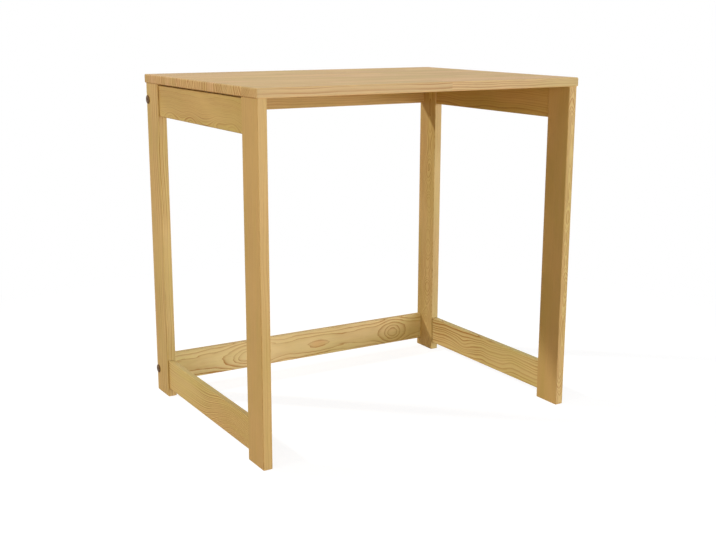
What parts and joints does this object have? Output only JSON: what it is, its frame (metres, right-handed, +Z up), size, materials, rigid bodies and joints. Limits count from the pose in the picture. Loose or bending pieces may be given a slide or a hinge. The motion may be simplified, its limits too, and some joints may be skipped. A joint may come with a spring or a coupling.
{
  "type": "writing desk",
  "caption": "Plain pine desk: a glued panel top on two open side frames, joined at the back by an upper and a lower rail that are bolted through the rear legs.",
  "frame": {"origin": "on the floor under the middle of the top", "axes": "+X to the sitter's right along the top's length, +Y from the open front to the back, +Z up"},
  "size_m": [0.8, 0.6, 0.772],
  "materials": {
    "panel_pine": "clear satin lacquer on edge-glued pine",
    "leg_pine": "clear satin lacquer on straight-grained pine",
    "rail_pine": "clear satin lacquer on flat-sawn pine",
    "dowel_beech": "raw fluted beech",
    "bronzed_steel": "burnished bronze plating",
    "plated_steel": "bright zinc plating"
  },
  "bodies": {
    "root": {"table_top": "panel_pine", "front_left_leg": "leg_pine", "front_right_leg": "leg_pine", "rear_left_leg": "leg_pine", "rear_right_leg": "leg_pine", "left_apron": "rail_pine", "right_apron": "rail_pine", "rear_apron": "rail_pine", "left_lower_rail": "rail_pine", "right_lower_rail": "rail_pine", "rear_lower_rail": "rail_pine", "left_apron_dowels": "dowel_beech", "right_apron_dowels": "dowel_beech", "rear_apron_dowels": "dowel_beech", "left_lower_rail_dowels": "dowel_beech", "right_lower_rail_dowels": "dowel_beech", "rear_lower_rail_dowels": "dowel_beech", "top_dowels": "dowel_beech", "upper_left_bolt": "bronzed_steel", "upper_right_bolt": "bronzed_steel", "lower_left_bolt": "bronzed_steel", "lower_right_bolt": "bronzed_steel", "upper_left_barrel_nut": "plated_steel", "upper_right_barrel_nut": "plated_steel", "lower_left_barrel_nut": "plated_steel", "lower_right_barrel_nut": "plated_steel", "left_bracket": "plated_steel", "right_bracket": "plated_steel", "rear_left_bracket": "plated_steel", "rear_right_bracket": "plated_steel", "left_bracket_screws": "plated_steel", "right_bracket_screws": "plated_steel", "rear_left_bracket_screws": "plated_steel", "rear_right_bracket_screws": "plated_steel"}
  },
  "joints": []
}
